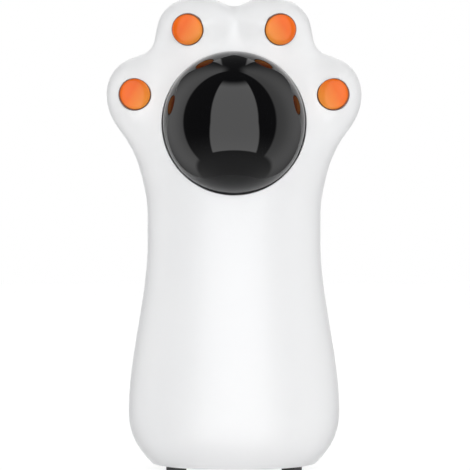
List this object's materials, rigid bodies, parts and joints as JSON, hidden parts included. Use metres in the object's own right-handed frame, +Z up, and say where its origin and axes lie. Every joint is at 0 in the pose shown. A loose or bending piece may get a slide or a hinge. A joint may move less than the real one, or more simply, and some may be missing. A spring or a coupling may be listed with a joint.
{
  "type": "automatic cat laser toy",
  "caption": "Paw-shaped automatic cat laser toy: a smoked dome in the palm hides a laser that pans and tilts on geared axes, over a rechargeable cell in the arm.",
  "frame": {"origin": "on the plane of the feet's undersides, under the middle of the whole object's box", "axes": "+Z up along the arm, -Y out of the palm and dome, +X to the right as seen from the front"},
  "size_m": [0.0806, 0.0748, 0.1504],
  "materials": {
    "shell_white": "satin",
    "base_white": "matte",
    "dome_smoke": "gloss",
    "bean_orange": "gloss",
    "foot_rubber": "matte",
    "frame_black": "matte",
    "gear_white": "satin",
    "pinion_brass": "satin",
    "motor_steel": "satin",
    "shaft_steel": "polished",
    "screw_steel": "zinc plated",
    "lens_glass": "clear",
    "board_green": "satin",
    "chip_black": "matte",
    "port_steel": "bright",
    "button_white": "satin",
    "light_clear": "clear",
    "cell_wrap": "wrapped in film",
    "cap_steel": "bright",
    "pad_foam": "foam",
    "plug_white": "satin",
    "lead_red": "satin",
    "lead_black": "satin"
  },
  "bodies": {
    "casing": {"front_shell": "shell_white", "rear_shell": "shell_white", "base_plate": "base_white", "dome_cover": "dome_smoke", "toe_bean_outer_left": "bean_orange", "toe_bean_inner_left": "bean_orange", "toe_bean_inner_right": "bean_orange", "toe_bean_outer_right": "bean_orange", "foot_front_left": "foot_rubber", "foot_front_right": "foot_rubber", "foot_rear_left": "foot_rubber", "foot_rear_right": "foot_rubber", "gimbal_frame": "frame_black", "battery_tray": "frame_black", "thrust_washer": "gear_white", "pan_motor": "motor_steel", "pan_pivot_pin": "shaft_steel", "base_screws": "screw_steel", "case_screws": "screw_steel", "frame_screws": "screw_steel", "pan_motor_screws": "screw_steel", "board_screws": "screw_steel", "tray_screws": "screw_steel", "main_board": "board_green", "board_chips": "chip_black", "usb_c_tongue": "chip_black", "tact_switch": "chip_black", "usb_c_port": "port_steel", "status_led": "light_clear", "light_pipe": "light_clear", "battery_cell": "cell_wrap", "battery_cap": "cap_steel", "battery_pad": "pad_foam", "battery_plug": "plug_white", "battery_lead_red": "lead_red", "battery_lead_black": "lead_black"},
    "pan_yoke": {"pan_turntable": "gear_white", "tilt_motor": "motor_steel", "tilt_motor_screws": "screw_steel"},
    "pan_drive": {"pan_pinion": "pinion_brass", "pan_motor_shaft": "shaft_steel"},
    "laser_head": {"laser_carrier": "frame_black", "laser_barrel": "pinion_brass", "laser_lens": "lens_glass", "laser_driver_board": "board_green", "laser_set_screw": "screw_steel", "tilt_gear": "gear_white"},
    "tilt_drive": {"tilt_pinion": "pinion_brass", "tilt_motor_shaft": "shaft_steel"},
    "button": {"power_button": "button_white", "switch_plunger": "button_white"}
  },
  "joints": [
    {"name": "pan", "type": "hinge", "parent": "casing", "child": "pan_yoke", "pos_m": [0, -0.00855, 0.1015], "axis": [0, 0, 1], "range_deg": [-45, 45]},
    {"name": "pan_motor_spin", "type": "hinge", "parent": "casing", "child": "pan_drive", "pos_m": [0, 0.00345, 0.1015], "axis": [0, 0, 1], "range_deg": [-136, 136]},
    {"name": "tilt", "type": "hinge", "parent": "pan_yoke", "child": "laser_head", "pos_m": [0, -0.00855, 0.1096], "axis": [1, 0, 0], "range_deg": [-10, 30]},
    {"name": "tilt_motor_spin", "type": "hinge", "parent": "pan_yoke", "child": "tilt_drive", "pos_m": [0, 0.00445, 0.1096], "axis": [1, 0, 0], "range_deg": [-82, 28]},
    {"name": "power_press", "type": "slide", "parent": "casing", "child": "button", "axis": [0, -1, 0], "range_m": [0, 0.0003], "stiffness_N_per_m": 3000}
  ],
  "couplings": [
    {"joint": "pan_motor_spin", "follows": "pan", "ratio": -3},
    {"joint": "tilt_motor_spin", "follows": "tilt", "ratio": -2.7143}
  ]
}
